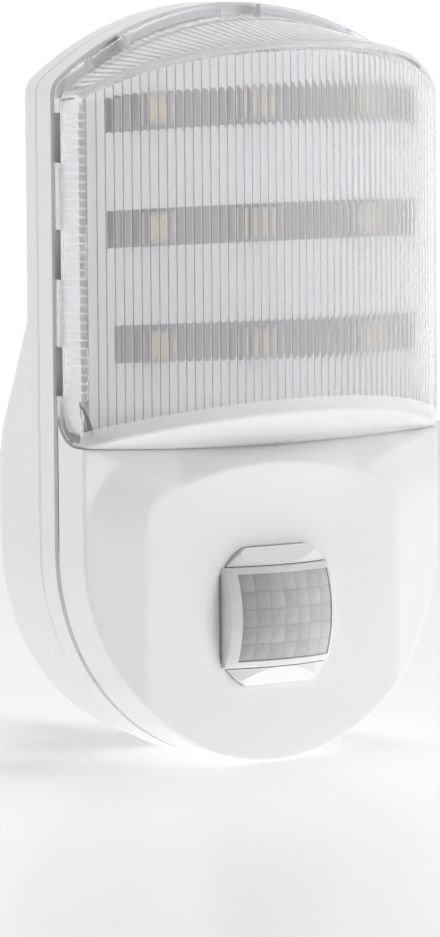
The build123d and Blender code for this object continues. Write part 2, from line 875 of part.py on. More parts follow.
def control_chip():
    length, width, height = chip_size
    x, z = chip_place
    body = block(length, width, x, z, main_front, main_front + height)
    for number in range(chip_leg_count):
        shift = chip_leg_pitch * (number - (chip_leg_count - 1) / 2)
        top = main_front + chip_leg_height
        body += block(chip_leg_width, chip_leg_span, x + shift, z, main_front, top)
    return body


def chip_resistors():
    length, width, height = resistor_size
    across, up = resistor_pitch
    x, z = resistor_place
    bodies = []
    for column in (-1, 0, 1):
        for row in (0, 1):
            place = (x + across * column, z + up * row)
            bodies.append(block(length, width, *place, main_front, main_front + height))
    return Compound(bodies)


# ---- slide switch ----
switch_face = hump_half(main_back - switch_body_width) - wall - fit_gap
knob_top = hump_half(switch_depth) + knob_stand


def slot_block(length, width, low, high):
    """A block across the right-hand wall at the switch, from low to high in X."""
    centre = (low + high) / 2
    start = switch_depth - width / 2
    return block(high - low, length, centre, switch_height, start, start + width)


def switch_slot():
    length = knob_length + (switch_travel + slide_gap) * 2
    return slot_block(length, knob_width + slide_gap * 2, switch_face - wall, half_width + wall)


def switch_body():
    base = switch_face - switch_body_height
    body = slot_block(switch_body_length, switch_body_width, base, switch_face)
    roof = switch_face - switch_lid
    floor = roof - knob_foot_height - slide_gap * 2
    length = knob_foot_length + (switch_travel + slide_gap) * 2
    body -= slot_block(length, knob_foot_width + slide_gap * 2, floor, roof)
    return body - switch_slot()


def switch_knob():
    roof = switch_face - switch_lid - slide_gap
    body = slot_block(knob_foot_length, knob_foot_width, roof - knob_foot_height, roof)
    body += slot_block(knob_length, knob_width, roof - knob_foot_height, knob_top)
    pitch = knob_length / (knob_groove_count + 1)
    for number in range(knob_groove_count):
        z = pitch * (number + 1) - knob_length / 2
        low = knob_top - knob_groove
        body -= Pos(0, 0, z) * slot_block(knob_groove * 2, knob_width + wall, low, knob_top + wall)
    return body


# ---- screws ----
def screw(x, z, radius, length, head_radius, head_height, seat):
    """A screw driven forward, with its head behind seat."""
    return post(x, z, head_radius, seat - head_height, seat) + post(x, z, radius, seat, seat + length)


def case_screw(x, z):
    """The case's screws show at the back, so they have their cross recess."""
    seat = rim + screw_recess
    top = seat - screw_head_height
    body = screw(x, z, screw_radius, screw_length, screw_head_radius, screw_head_height, seat)
    body = chamfer(body.faces().sort_by(Axis.Y)[-1].edges(), head_break)
    for wide, high in ((driver_reach, driver_width), (driver_width, driver_reach)):
        body -= block(wide, high, x, z, top - wall, top + driver_depth)
    return body


def small_screw(x, z, length, seat):
    return screw(x, z, small_screw_radius, length, small_head_radius, small_head_height, seat)


def case_screws():
    upper = [case_screw(side * upper_screw_x, upper_screw_z) for side in (-1, 1)]
    lower = [case_screw(side * well_x, well_z) for side in (-1, 1)]
    return Compound(upper + lower)


def front_screws():
    places = cover_screw_places() + tray_screw_places()
    return Compound([small_screw(x, z, small_screw_length, web_back) for x, z in places])


def board_screws():
    screws = []
    for x, z in board_posts():
        screws.append(small_screw(x, z, board_screw_length, main_back))
    return Compound(screws)


def plug_screws():
    seat = back + wall + drum_height
    screws = []
    for angle in ear_angles:
        x, z = ear_place(angle)
        length = drum_height - least_round
        flipped = screw(x, z, screw_radius, length, screw_head_radius, screw_head_height, -seat)
        screws.append(flipped.mirror(Plane.XZ))
    return Compound(screws)


nodes = [
    rear_shell,
    plug_body,
    plug_pins,
    pin_terminals,
    middle_frame,
    front_cover,
    lens,
    reflector_tray,
    light_board,
    leds,
    led_phosphors,
    pir_bezel,
    pir_lens,
    pir_sensor_can,
    pir_sensor_window,
    pir_sensor_spacer,
    daylight_sensor,
    main_board,
    link_header,
    link_pins,
    film_capacitor,
    reservoir_capacitor,
    fuse_resistor,
    rectifier_diodes,
    control_chip,
    chip_resistors,
    switch_body,
    switch_knob,
    case_screws,
    front_screws,
    board_screws,
    plug_screws,
]

for make_node in nodes:
    write(make_node.__name__, make_node())
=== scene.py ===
import bmesh
import bpy
import json
import math
from mathutils import Matrix, Vector
from mathutils.geometry import delaunay_2d_cdt


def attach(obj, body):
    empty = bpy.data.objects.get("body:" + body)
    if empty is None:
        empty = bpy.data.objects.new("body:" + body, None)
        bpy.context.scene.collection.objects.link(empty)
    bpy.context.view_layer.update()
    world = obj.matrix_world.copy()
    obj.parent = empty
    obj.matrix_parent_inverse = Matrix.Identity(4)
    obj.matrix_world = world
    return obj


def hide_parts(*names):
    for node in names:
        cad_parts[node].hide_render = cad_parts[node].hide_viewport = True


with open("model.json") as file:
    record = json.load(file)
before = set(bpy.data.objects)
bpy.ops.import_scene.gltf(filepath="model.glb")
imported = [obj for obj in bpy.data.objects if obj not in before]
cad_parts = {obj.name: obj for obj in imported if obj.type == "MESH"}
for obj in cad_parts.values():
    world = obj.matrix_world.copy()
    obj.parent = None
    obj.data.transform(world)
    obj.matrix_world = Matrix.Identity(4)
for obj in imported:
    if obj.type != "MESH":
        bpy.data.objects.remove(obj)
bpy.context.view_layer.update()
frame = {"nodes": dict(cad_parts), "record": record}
nodes = frame["nodes"]
slots = {part["node"]: part["material_slot"] for part in frame["record"]["subparts"]}
scene = bpy.context.scene
mm = 0.001

# Lengths in the dictionaries are millimetres. X is right, Z up, the front faces -Y,
# and a depth is counted forward (towards -Y) from the plug's face.


# shared helpers
def addObject(name, data):
    item = bpy.data.objects.new(name, data)
    scene.collection.objects.link(item)
    return item


def meshObject(name, points, faces):
    mesh = bpy.data.meshes.new(name)
    mesh.from_pydata(points, [], faces)
    return addObject(name, mesh)


def newMaterial(name):
    material = bpy.data.materials.new(name)
    material.use_nodes = True
    tree = material.node_tree
    return material, tree, tree.nodes["Principled BSDF"]


def setInputs(node, values):
    for label, value in values.items():
        node.inputs[label].default_value = value


def feed(tree, value, socket):
    # a socket takes a number or a link from another node
    if isinstance(value, (int, float)):
        socket.default_value = value
    else:
        tree.links.new(value, socket)


def sums(tree, operation, *values):
    step = tree.nodes.new("ShaderNodeMath")
    step.operation = operation
    for value, socket in zip(values, step.inputs):
        feed(tree, value, socket)
    return step.outputs[0]


def mapRange(tree, value, start, end):
    # carries a value from one pair of limits to another
    fade = tree.nodes.new("ShaderNodeMapRange")
    tree.links.new(value, fade.inputs["Value"])
    for label, (low, high) in (("From", start), ("To", end)):
        setInputs(fade, {label + " Min": low, label + " Max": high})
    return fade.outputs[0]


def mixShaders(tree, share, first, second):
    mix = tree.nodes.new("ShaderNodeMixShader")
    feed(tree, share, mix.inputs[0])
    tree.links.new(first.outputs[0], mix.inputs[1])
    tree.links.new(second.outputs[0], mix.inputs[2])
    return mix.outputs[0]


def splitPlace(tree, kind):
    # coordinates of the kind asked for, whole and as X, Y and Z
    place = tree.nodes.new("ShaderNodeTexCoord").outputs[kind]
    parts = tree.nodes.new("ShaderNodeSeparateXYZ")
    tree.links.new(place, parts.inputs[0])
    return place, parts.outputs


# camera
viewpoint = {
    "azimuth": 35.95,
    "elevation": 4.92,
    "roll": -0.47,
    "lens": 223.06,
    "distance": 950.2,
    "aside": 7.44,
    "raise": -11.89,
    "target": (0, -44.5, 0),
    "clip": (0.05, 20),  # metres
}


def makeCamera(setup):
    a, p, r = (math.radians(setup[key]) for key in ("azimuth", "elevation", "roll"))
    look = Vector((math.sin(a) * math.cos(p), math.cos(a) * math.cos(p), -math.sin(p)))
    level = Vector((math.cos(a), -math.sin(a), 0))
    upright = Vector((math.sin(a) * math.sin(p), math.cos(a) * math.sin(p), math.cos(p)))
    right = level * math.cos(r) + upright * math.sin(r)
    top = upright * math.cos(r) - level * math.sin(r)
    place = Vector(setup["target"]) - look * setup["distance"]
    place -= right * setup["aside"] + top * setup["raise"]
    data = bpy.data.cameras.new("camera")
    data.lens = setup["lens"]
    data.clip_start, data.clip_end = setup["clip"]
    camera = addObject("camera", data)
    turn = Matrix((right, top, -look)).transposed().to_4x4()
    camera.matrix_world = Matrix.Translation(place * mm) @ turn
    scene.camera = camera


makeCamera(viewpoint)
print("camera ready")


# studio
studio = {
    "floorLevel": -36.0,
    "floorHalf": 0.5,
    "floorColour": 0.62,
    "floorGlow": 0.42,
    "floorGloss": 0.24,
    "floorRoughness": 0.2,
    "ambientLow": 0.37,
    "ambientHigh": 0.0,
    "ambientReach": 0.7,  # upward part of the direction where it ends
}
lamps = [
    # name, place in metres, aim in metres, width, height, power
    ("key", (0.66, -0.70, 0.52), (0, -0.04, 0.02), 0.5, 0.4, 2.5),
    ("keyLow", (0.70, -0.80, 0.08), (0, -0.04, 0.02), 0.7, 0.2, 3.4),
    ("leftSide", (-1.00, 0.22, 0.16), (0, -0.03, 0.02), 0.5, 0.36, 4.5),
    ("leftDown", (-0.80, -0.05, -0.40), (0, -0.03, 0.02), 0.5, 0.36, 2.2),
    ("crown", (0.15, -0.05, 0.90), (0, -0.03, 0.05), 0.6, 0.3, 4.6),
    ("belowRight", (0.42, -0.38, -0.47), (0, -0.05, 0.0), 0.5, 0.4, 2.4),
    ("steepBelow", (0.08, -0.24, -0.58), (0, -0.05, 0.0), 0.5, 0.3, 1.9),
]


def whiteToEyes(tree):
    # 1 for camera, glossy and transmission rays, 0 for the rest and after any matt bounce
    path = tree.nodes.new("ShaderNodeLightPath").outputs
    total = path["Is Camera Ray"]
    for name in ("Is Glossy Ray", "Is Transmission Ray"):
        total = sums(tree, "MAXIMUM", total, path[name])
    return sums(tree, "MULTIPLY", total, sums(tree, "LESS_THAN", path["Diffuse Depth"], 0.5))


def makeWorld(setup):
    world = bpy.data.worlds.new("studio")
    scene.world = world
    world.use_nodes = True
    tree = world.node_tree
    tree.nodes.clear()
    out = tree.nodes.new("ShaderNodeOutputWorld")
    seen = tree.nodes.new("ShaderNodeBackground")
    unseen = tree.nodes.new("ShaderNodeBackground")
    for glow in (seen, unseen):
        glow.inputs["Color"].default_value = (1, 1, 1, 1)
    parts = splitPlace(tree, "Generated")[1]
    strengths = (setup["ambientLow"], setup["ambientHigh"])
    fade = mapRange(tree, parts["Z"], (0.0, setup["ambientReach"]), strengths)
    tree.links.new(fade, unseen.inputs["Strength"])
    tree.links.new(mixShaders(tree, whiteToEyes(tree), unseen, seen), out.inputs[0])


def makeFloor(setup):
    half, level = setup["floorHalf"], setup["floorLevel"] * mm
    corners = [(x * half, y * half, level) for x, y in ((-1, -1), (1, -1), (1, 1), (-1, 1))]
    floor = meshObject("floor", corners, [(0, 1, 2, 3)])
    material, tree, _ = newMaterial("studioFloor")
    tree.nodes.clear()
    out = tree.nodes.new("ShaderNodeOutputMaterial")
    matt = tree.nodes.new("ShaderNodeBsdfDiffuse")
    glow = tree.nodes.new("ShaderNodeEmission")
    gloss = tree.nodes.new("ShaderNodeBsdfGlossy")
    both = tree.nodes.new("ShaderNodeAddShader")
    matt.inputs["Color"].default_value = (*[setup["floorColour"]] * 3, 1)
    setInputs(gloss, {"Color": (1, 1, 1, 1), "Roughness": setup["floorRoughness"]})
    strength = sums(tree, "MULTIPLY", whiteToEyes(tree), setup["floorGlow"])
    tree.links.new(strength, glow.inputs["Strength"])
    tree.links.new(matt.outputs[0], both.inputs[0])
    tree.links.new(glow.outputs[0], both.inputs[1])
    tree.links.new(mixShaders(tree, setup["floorGloss"], both, gloss), out.inputs[0])
    floor.data.materials.append(material)
    floor.visible_shadow = False


def makeLamp(name, place, aim, width, height, power):
    data = bpy.data.lights.new(name, "AREA")
    data.shape = "RECTANGLE"
    data.size = width
    data.size_y = height
    data.energy = power
    lamp = addObject(name, data)
    lamp.location = place
    lamp.rotation_mode = "QUATERNION"
    lamp.rotation_quaternion = (Vector(aim) - Vector(place)).to_track_quat("-Z", "Y")
    lamp.visible_camera = lamp.visible_glossy = lamp.visible_transmission = False


scene.view_settings.view_transform = "Standard"
makeWorld(studio)
makeFloor(studio)
for lampRow in lamps:
    makeLamp(*lampRow)
print("studio ready")


# finishes
grainSetup = {
    "detail": 3.0,
    "spread": 0.12,
    "strength": 0.5,
    "driftScale": 45.0,
    "driftDetail": 2.0,
}


def noise(tree, coordinates, scale, detail):
    cloud = tree.nodes.new("ShaderNodeTexNoise")
    cloud.inputs["Detail"].default_value = detail
    tree.links.new(coordinates, cloud.inputs["Vector"])
    feed(tree, scale, cloud.inputs["Scale"])
    return cloud.outputs["Fac"]


def grainGroup(setup):
    # fine moulded texture with a slow drift of tone and gloss
    group = bpy.data.node_groups.new("mouldedGrain", "ShaderNodeTree")
    sockets = {
        "INPUT": ("Colour", "Drift", "Roughness", "Spread", "Scale"),
        "OUTPUT": ("Colour", "Roughness", "Height"),
    }
    for way, labels in sockets.items():
        for label in labels:
            kind = "NodeSocketColor" if label == "Colour" else "NodeSocketFloat"
            group.interface.new_socket(label, in_out=way, socket_type=kind)
    source = group.nodes.new("NodeGroupInput").outputs
    sink = group.nodes.new("NodeGroupOutput").inputs
    place = group.nodes.new("ShaderNodeTexCoord").outputs["Object"]
    fine = noise(group, place, source["Scale"], setup["detail"])
    slow = noise(group, place, setup["driftScale"], setup["driftDetail"])
    shift = sums(group, "SUBTRACT", slow, 0.5)
    tone = sums(group, "MULTIPLY", shift, source["Drift"])
    tint = group.nodes.new("ShaderNodeHueSaturation")
    group.links.new(source["Colour"], tint.inputs["Color"])
    group.links.new(sums(group, "ADD", tone, 1.0), tint.inputs["Value"])
    group.links.new(tint.outputs[0], sink["Colour"])
    spread = source["Spread"]
    rough = sums(group, "MULTIPLY", shift, spread)
    speck = sums(group, "MULTIPLY", sums(group, "SUBTRACT", fine, 0.5), spread)
    total = sums(group, "ADD", sums(group, "ADD", rough, speck), source["Roughness"])
    group.links.new(total, sink["Roughness"])
    group.links.new(fine, sink["Height"])
    return group


grain = grainGroup(grainSetup)

finishes = {
    # slot: colour, roughness, metallic, grain scale, grain bump in mm, drift of tone
    "case_plastic": ((0.86, 0.86, 0.87), 0.38, 0.0, 3200, 0.012, 0.02),
    "tray_plastic": ((0.88, 0.88, 0.89), 0.30, 0.0, 2600, 0.010, 0.02),
    # painted shade: the board is given a dark grey that stands for the shade inside the recessed
    # rows of windows
    "white_board": ((0.33, 0.33, 0.34), 0.45, 0.0, 2200, 0.012, 0.08),
    "led_package": ((0.46, 0.45, 0.43), 0.32, 0.0, 2600, 0.008, 0.04),
    "phosphor": ((0.66, 0.58, 0.44), 0.25, 0.0, 2600, 0.006, 0.06),
    "plated_metal": ((0.70, 0.69, 0.66), 0.24, 1.0, 3000, 0.004, 0.05),
    "dark_glass": ((0.03, 0.03, 0.04), 0.10, 0.0, 2600, 0.002, 0.05),
    "sensor_resin": ((0.55, 0.52, 0.48), 0.20, 0.0, 2600, 0.004, 0.04),
    "green_board": ((0.05, 0.22, 0.10), 0.36, 0.0, 1800, 0.010, 0.15),
    "black_plastic": ((0.03, 0.03, 0.032), 0.42, 0.0, 2600, 0.012, 0.10),
    "yellow_plastic": ((0.72, 0.50, 0.08), 0.34, 0.0, 2600, 0.010, 0.06),
    "can_metal": ((0.62, 0.63, 0.65), 0.28, 1.0, 2400, 0.006, 0.05),
    "resistor_coat": ((0.42, 0.52, 0.56), 0.30, 0.0, 2600, 0.008, 0.05),
    "brass": ((0.70, 0.52, 0.24), 0.30, 1.0, 2400, 0.008, 0.08),
    "pin_metal": ((0.78, 0.77, 0.74), 0.22, 1.0, 2400, 0.006, 0.05),
    "screw_steel": ((0.60, 0.60, 0.60), 0.32, 1.0, 2400, 0.008, 0.06),
}


def makeFinish(name, colour, roughness, metallic, scale, bump, drift):
    material, tree, shader = newMaterial(name)
    effect = tree.nodes.new("ShaderNodeGroup")
    effect.node_tree = grain
    setInputs(effect, {
        "Colour": (*colour, 1),
        "Drift": drift,
        "Roughness": roughness,
        "Spread": grainSetup["spread"],
        "Scale": scale,
    })
    shader.inputs["Metallic"].default_value = metallic
    relief = tree.nodes.new("ShaderNodeBump")
    setInputs(relief, {"Strength": grainSetup["strength"], "Distance": bump * mm})
    tree.links.new(effect.outputs["Colour"], shader.inputs["Base Color"])
    tree.links.new(effect.outputs["Roughness"], shader.inputs["Roughness"])
    tree.links.new(effect.outputs["Height"], relief.inputs["Height"])
    tree.links.new(relief.outputs["Normal"], shader.inputs["Normal"])
    return material


materials = {slot: makeFinish(slot, *row) for slot, row in finishes.items()}

clear = {
    "tint": (0.975, 0.97, 0.99),
    "roughness": 0.03,
    "index": 1.49,
    "transmission": 0.86,
    "shade": 0.88,       # light left after each face, where the lens casts a shadow
}


def makeClear(name, setup, line=None):
    material, tree, shader = newMaterial(name)
    setInputs(shader, {
        "Base Color": (*setup["tint"], 1),
        "Roughness": setup["roughness"],
        "IOR": setup["index"],
        "Transmission Weight": setup["transmission"],
    })
    # when a setup is given, the base colour takes the painted shade of the rib valleys
    if line:
        tree.links.new(ribPaintedShade(tree, line), shader.inputs["Base Color"])
    through = tree.nodes.new("ShaderNodeBsdfTransparent")
    through.inputs["Color"].default_value = (*[setup["shade"]] * 3, 1)
    path = tree.nodes.new("ShaderNodeLightPath")
    mix = mixShaders(tree, path.outputs["Is Shadow Ray"], shader, through)
    tree.links.new(mix, tree.nodes["Material Output"].inputs[0])
    return material


def ribPaintedShade(tree, setup):
    # painted shade: a dark line in each valley of the ribs, in place of the dark seen through
    # them, fainter towards +X where the light falls, and uneven from place to place
    place, parts = splitPlace(tree, "Object")
    reach = (setup["fadeFrom"] * mm, setup["fadeTo"] * mm)
    fade = mapRange(tree, parts["X"], reach, (setup["dark"], setup["pale"]))
    cloud = noise(tree, place, setup["cloudScale"], setup["cloudDetail"])
    drift = sums(tree, "MULTIPLY_ADD", cloud, setup["cloudSpread"], setup["cloudBase"])
    value = sums(tree, "MULTIPLY", fade, drift)
    mix = tree.nodes.new("ShaderNodeCombineColor")
    for channel in mix.inputs:
        tree.links.new(value, channel)
    return mix.outputs[0]


# painted shade for the ribs' valleys: how dark the line is from -X to +X, and how it varies
ribPaintedShadeSetup = {
    "fadeFrom": -30.0,
    "fadeTo": 30.0,
    "dark": 0.14,
    "pale": 0.34,
    "cloudScale": 150.0,
    "cloudDetail": 2.0,
    "cloudSpread": 1.6,
    "cloudBase": 0.2,
}
materials["clear_plastic"] = makeClear("clearPlastic", clear)
# the ribs' valleys: clear plastic with painted shade
materials["ribValleyPaintedShade"] = makeClear("ribValleyPaintedShade", clear, ribPaintedShadeSetup)
# painted highlight: a milkier copy of the clear plastic, laid on one flank of each rib and along
# the crown, in place of the light the ribs reflect
materials["ribFlankPaintedHighlight"] = makeClear("ribFlankPaintedHighlight", {**clear, "transmission": 0.58, "roughness": 0.12})
materials["lensEdge"] = makeClear("lensEdge", {**clear, "transmission": 0.5, "shade": 0.3})
print("finishes ready")


# mesh helpers
weldReach = 0.0005  # places nearer than this are one


def toMetres(point):
    # a point given as (x, depth, height) in millimetres
    return (point[0] * mm, -point[1] * mm, point[2] * mm)


def stitchLoops(outer, inner):
    # triangles between two closed rings of (index, place) pairs, walked side by side
    start = Vector(outer[0][1])
    best = min(range(len(inner)), key=lambda k: (Vector(inner[k][1]) - start).length)
    first = outer + outer[:1]
    second = inner[best:] + inner[:best + 1]
    faces = []
    i = j = 0
    while i < len(first) - 1 or j < len(second) - 1:
        moveFirst = j == len(second) - 1
        if i < len(first) - 1 and j < len(second) - 1:
            ahead = (Vector(first[i + 1][1]) - Vector(second[j][1])).length
            behind = (Vector(second[j + 1][1]) - Vector(first[i][1])).length
            moveFirst = ahead < behind
        if moveFirst:
            faces.append((first[i][0], first[i + 1][0], second[j][0]))
            i += 1
        else:
            faces.append((first[i][0], second[j + 1][0], second[j][0]))
            j += 1
    return faces


def addPoints(points, places):
    # adds the places and gives back their numbers
    first = len(points)
    points.extend(places)
    return list(range(first, len(points)))


def addSheet(faces, rows, closed=False):
    # four-sided faces between rows, or closed rings, of equal length
    for first, second in zip(rows, rows[1:]):
        for k in range(len(first) - (not closed)):
            n = (k + 1) % len(first)
            faces.append((first[k], first[n], second[n], second[k]))


def quarter(steps, first=0):
    # sine and cosine at each step of a quarter turn
    turns = [math.pi / 2 * k / steps for k in range(first, steps + 1)]
    return [(math.sin(turn), math.cos(turn)) for turn in turns]


def located(points, ring):
    return [(index, points[index]) for index in ring]


def rimOf(grid):
    # the numbers round the edge of a grid of rows
    ring = grid[0] + [row[-1] for row in grid[1:]]
    return ring + grid[-1][-2::-1] + [row[0] for row in reversed(grid[1:-1])]


def dress(piece, *slotNames):
    piece.data.materials.clear()
    for name in slotNames:
        piece.data.materials.append(materials[name])


def reworkMesh(mesh, change):
    work = bmesh.new()
    work.from_mesh(mesh)
    change(work)
    work.to_mesh(mesh)
    work.free()


def turnOutward(work):
    bmesh.ops.recalc_face_normals(work, faces=work.faces)


def makePiece(name, points, faces, slot):
    piece = meshObject(name, [toMetres(point) for point in points], faces)

    def joinUp(work):
        bmesh.ops.remove_doubles(work, verts=work.verts, dist=weldReach * mm)
        bmesh.ops.dissolve_degenerate(work, edges=work.edges, dist=weldReach * mm / 5)
        turnOutward(work)

    reworkMesh(piece.data, joinUp)
    dress(piece, slot)
    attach(piece, "housing")
    return piece


def carve(piece, blocks):
    # cuts blocks, each of eight corners, out of a piece
    points = [toMetres(corner) for block in blocks for corner in block]
    sides = ((0, 1, 3, 2), (4, 5, 7, 6), (0, 1, 5, 4), (2, 3, 7, 6), (0, 2, 6, 4), (1, 3, 7, 5))
    faces = [tuple(8 * k + i for i in side) for k in range(len(blocks)) for side in sides]
    cutter = meshObject("cutter", points, faces)
    mesh = cutter.data
    reworkMesh(mesh, turnOutward)
    cut = piece.modifiers.new("cut", "BOOLEAN")
    cut.operation = "DIFFERENCE"
    cut.solver = "EXACT"
    cut.object = cutter
    graph = bpy.context.evaluated_depsgraph_get()
    done = bpy.data.meshes.new_from_object(piece.evaluated_get(graph))
    piece.modifiers.remove(cut)
    piece.data = done
    bpy.data.objects.remove(cutter)
    bpy.data.meshes.remove(mesh)


# what the lens, the cover and the frame under them share
caseShape = {"half": 36.0, "seam": 37.15, "edge": 44.5, "wall": 2.0, "dip": 1.3, "corner": 5.5}

# snap pockets where the legs of the lens go into the frame
snapShape = {
    **caseShape,
    "length": 8.0,
    "heights": (66.65, 47.9, 29.15),
    "crownAngles": (-27.8, 0.0, 27.8),
    "crownAxis": 31.0,
    "crownRadius": 57.0,
    "notchRise": 1.35,
    "notchInset": 2.4,
    "pocketDepth": 2.4,
    "pocketOuter": 0.55,
    "pocketInner": 2.7,
    "clear": 1.0,        # cutting blocks reach past by this
}


def snapBlocks(inner, outer, low, high):
    # nine blocks, from an inner to an outer inset and between two depths
    s = snapShape
    places = [((0.0, z), angle, s["half"]) for z in s["heights"] for angle in (-90, 90)]
    places += [((0.0, s["crownAxis"]), angle, s["crownRadius"]) for angle in s["crownAngles"]]
    blocks = []
    for origin, angle, reach in places:
        out = (math.sin(math.radians(angle)), math.cos(math.radians(angle)))
        along = (out[1], -out[0])
        corners = []
        for depth in (low, high):
            for radius in (reach - inner, reach - outer):
                for shift in (-s["length"] / 2, s["length"] / 2):
                    x, z = (origin[i] + out[i] * radius + along[i] * shift for i in (0, 1))
                    corners.append((x, depth, z))
        blocks.append(corners)
    return blocks


def smoothShade(piece, angle):
    for polygon in piece.data.polygons:
        polygon.use_smooth = True
    piece.data.set_sharp_from_angle(angle=math.radians(angle))


# lens
lensShape = {
    **caseShape,
    "flangeFront": 39.15,
    "flangeInset": 0.3,
    "frontRadius": 53.8,
    "frontAxis": 4.52,
    "backCrown": 86.15,
    "backArch": 57.0,
    "frontCrown": 81.7,
    "frontArch": 103.0,
    "caseCrown": 88.0,
    "shoulder": 4.0,
    "sill": 15.85,
    "bevel": 0.435,
    "sideRound": 0.8,
    "sideSteps": 5,
    "frontRound": 1.1,
    "footBand": 2.6,
    "topBand": 2.2,
    "columns": 60,
    "backGap": 0.05,
    "ribPitch": 1.4,
    "ribHeight": 0.2,
    "ribCount": 25,
    "ribStops": (0.0, 0.13, 0.27, 0.42, 0.58, 0.73, 0.87),
    "wallRibHeight": 0.14,
    "sideFoot": 5.6,
    "sideHead": 1.2,
    "edgeClear": 0.6,
    "frontClear": 1.2,
    "insetShare": 0.6,
    "backSteps": 8,
    "sharp": 35,
}
ribEnds = {
    # distances from the walls at which the inner ribs end and reach their height
    "back": (1.5, 3.5),
    "front": (0.5, 2.4),
    "upright": (0.4, 1.0),
    "side": (0.6, 2.2, 1.6, 0.3),
    "sillTurn": 0.6,
    "sillEdge": 0.5,
    "sillRun": 3,
    "sillShares": (0.1, 0.3, 0.2),
}
lensBands = {
    # how faces are told apart, by slope and by distance from the ribbed wall
    "steep": 0.35,
    "sideways": 0.8,
    "floorReach": 4.0,
    "ribDepth": 0.6,
    "crownDepth": 0.7,
    "slack": 0.1,
}


def lensFrontDepth(x, inset=0.0):
    s = lensShape
    return s["frontAxis"] + math.sqrt((s["frontRadius"] - inset) ** 2 - x * x)


def lensTop(x, depth, inset=0.0):
    s = lensShape
    back = s["backCrown"] - inset - s["backArch"] + math.sqrt(s["backArch"] ** 2 - x * x)
    front = s["frontCrown"] - inset - s["frontArch"] + math.sqrt(s["frontArch"] ** 2 - x * x)
    reach = s["frontAxis"] + s["frontRadius"] - s["flangeFront"]
    return back + (front - back) * (depth - s["flangeFront"]) / reach


def lensSill(x, depth, lift=0.0):
    s = lensShape
    level = s["sill"] + lift + s["dip"] * (x / s["half"]) ** 2
    if depth > s["edge"]:
        return level + s["bevel"] * (depth - s["edge"])
    turn = s["seam"] + s["corner"]
    if depth < turn:
        drop = s["corner"] ** 2 - (turn - depth) ** 2
        return level + s["corner"] - math.sqrt(max(drop, 0))
    return level


def flangeTop(x):
    s = lensShape
    inset = s["flangeInset"]
    axis = s["caseCrown"] - s["backArch"]
    inner = s["half"] - s["shoulder"]
    centre = axis + math.sqrt((s["backArch"] - s["shoulder"]) ** 2 - inner**2)
    arc = s["backArch"] - inset
    if x < inner * s["backArch"] / (s["backArch"] - s["shoulder"]):
        return axis + math.sqrt(arc**2 - x * x)
    curve = s["shoulder"] - inset
    return centre + math.sqrt(max(curve**2 - (x - inner) ** 2, 0))


def roundedPath(corners, radius, steps=6):
    # a run of straight lines in (depth, height) with each marked corner rounded
    path = [corners[0][:2]]
    for before, here, after in zip(corners, corners[1:], corners[2:]):
        if not here[2]:
            path.append(here[:2])
            continue
        point = Vector(here[:2])
        toBack = (Vector(before[:2]) - point).normalized()
        toFront = (Vector(after[:2]) - point).normalized()
        half = toBack.angle(toFront) / 2
        run = radius / math.tan(half)
        middle = (toBack + toFront).normalized() * (radius / math.sin(half)) + point
        start = point + toBack * run - middle
        end = point + toFront * run - middle
        for step in range(steps + 1):
            share = step / steps
            spread = start.angle(end)
            mixed = (
                start * math.sin((1 - share) * spread) + end * math.sin(share * spread)
            ) / math.sin(spread)
            path.append(tuple(middle + mixed))
    path.append(corners[-1][:2])
    return path


def outerPath(x, inset):
    # over the top wall, down the front and back along the underside
    s = lensShape
    wide = abs(x)
    front = lensFrontDepth(wide) - inset
    flangeX = min(wide, s["half"] - s["flangeInset"])
    turn = s["seam"] + s["corner"]
    deep = s["edge"] if front > s["edge"] + s["edgeClear"] else turn
    deep = min(deep, front - s["frontClear"])
    corners = [
        (s["flangeFront"], lensTop(wide, s["flangeFront"]) - inset, False),
        (front, lensTop(wide, front) - inset, True),
        (front, lensSill(wide, front) + s["footBand"], False),
        (front, lensSill(wide, front) + inset, True),
        (deep, lensSill(wide, deep) + inset, False),
    ]
    path = roundedPath(corners, s["frontRound"] - inset * s["insetShare"])
    back = s["seam"] + s["backGap"]
    points = [(flangeX, depth, flangeTop(flangeX)) for depth in (back, s["flangeFront"])]
    points += [(wide, depth, height) for depth, height in path]
    for sine, _ in quarter(s["backSteps"], 1):
        depth = turn - (turn - back) * sine
        held = flangeX if depth < s["flangeFront"] else wide
        points.append((held, depth, lensSill(wide, depth) + inset))
    side = -1 if x < 0 else 1
    return [(side * px, depth, height) for px, depth, height in points]


